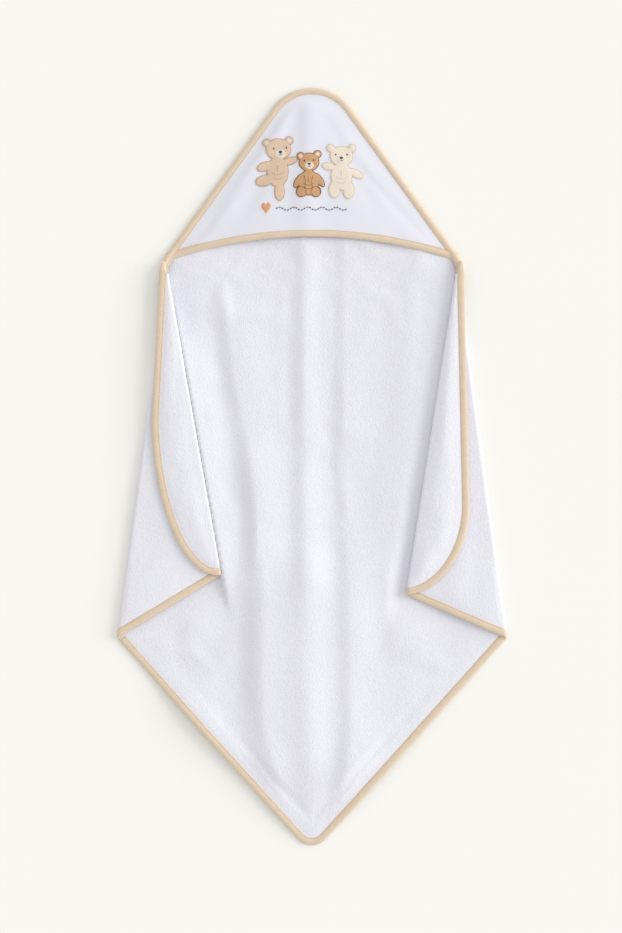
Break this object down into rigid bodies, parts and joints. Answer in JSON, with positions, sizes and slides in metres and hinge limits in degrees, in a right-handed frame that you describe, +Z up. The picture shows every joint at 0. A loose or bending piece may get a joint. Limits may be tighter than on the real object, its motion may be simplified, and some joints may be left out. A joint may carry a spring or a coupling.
{
  "type": "hooded baby towel",
  "caption": "Square terry baby towel with a lined corner hood, bound edges and stitched bear motifs, laid flat with its side corners folded in.",
  "frame": {"origin": "middle of the laid towel's outline, on the surface that it lies on", "axes": "+Y from the bottom corner to the hood's tip, +Z up out of the surface, +X to the right seen from above"},
  "size_m": [0.5114, 0.994, 0.0231],
  "materials": {
    "terry": "looped cotton terry, white",
    "hood_velour": "smooth sheared cotton face, white",
    "binding": "folded cotton tape, pale beige",
    "binding_thread": "beige sewing thread",
    "dark_thread": "dark brown embroidery thread",
    "dancing_bear": "tan satin-stitched patch",
    "sitting_bear": "caramel satin-stitched patch",
    "standing_bear": "cream satin-stitched patch",
    "bear_cream": "off-white satin stitch",
    "heart": "peach satin-stitched patch",
    "backing": "non-woven embroidery backing"
  },
  "bodies": {
    "centre": {"bottom_edge_binding": "binding", "bottom_edge_stitching": "binding_thread", "centre_panel": "terry", "dancing_bear": "dancing_bear", "dancing_bear_left_inner_ear": "bear_cream", "dancing_bear_muzzle": "bear_cream", "dancing_bear_nose": "dark_thread", "dancing_bear_right_inner_ear": "bear_cream", "embroidery_backing": "backing", "heart_patch": "heart", "hood_edge_binding": "binding", "hood_edge_stitching": "binding_thread", "hood_lining": "terry", "hood_outer_panel": "hood_velour", "hood_seam_binding": "binding", "hood_seam_stitching": "binding_thread", "sitting_bear": "sitting_bear", "sitting_bear_left_inner_ear": "bear_cream", "sitting_bear_muzzle": "bear_cream", "sitting_bear_nose": "dark_thread", "sitting_bear_right_inner_ear": "bear_cream", "standing_bear": "standing_bear", "standing_bear_left_inner_ear": "bear_cream", "standing_bear_muzzle": "bear_cream", "standing_bear_nose": "dark_thread", "standing_bear_right_inner_ear": "bear_cream", "stitched_wave_line": "dark_thread"},
    "left_wing": {"left_wing_binding": "binding", "left_wing_panel": "terry", "left_wing_stitching": "binding_thread"},
    "left_flap": {"left_flap_binding": "binding", "left_flap_panel": "terry", "left_flap_stitching": "binding_thread"},
    "right_wing": {"right_wing_binding": "binding", "right_wing_panel": "terry", "right_wing_stitching": "binding_thread"},
    "right_flap": {"right_flap_binding": "binding", "right_flap_panel": "terry", "right_flap_stitching": "binding_thread"}
  },
  "joints": [
    {"name": "left_wing_unfold", "type": "hinge", "parent": "centre", "child": "left_wing", "pos_m": [-0.223, 0.0185, 0.004], "axis": [-0.1343, -0.9909, 0], "range_deg": [0, 180]},
    {"name": "left_flap_unfold", "type": "hinge", "parent": "left_wing", "child": "left_flap", "pos_m": [-0.154, 0.06, 0.009], "axis": [-0.1755, 0.9845, 0], "range_deg": [0, 180]},
    {"name": "right_wing_unfold", "type": "hinge", "parent": "centre", "child": "right_wing", "pos_m": [0.223, 0.0185, 0.004], "axis": [-0.1343, 0.9909, 0], "range_deg": [0, 180]},
    {"name": "right_flap_unfold", "type": "hinge", "parent": "right_wing", "child": "right_flap", "pos_m": [0.1565, 0.047, 0.009], "axis": [-0.154, -0.9881, 0], "range_deg": [0, 180]}
  ],
  "couplings": [
    {"joint": "left_flap_unfold", "follows": "left_wing_unfold", "ratio": 1},
    {"joint": "right_flap_unfold", "follows": "right_wing_unfold", "ratio": 1}
  ]
}
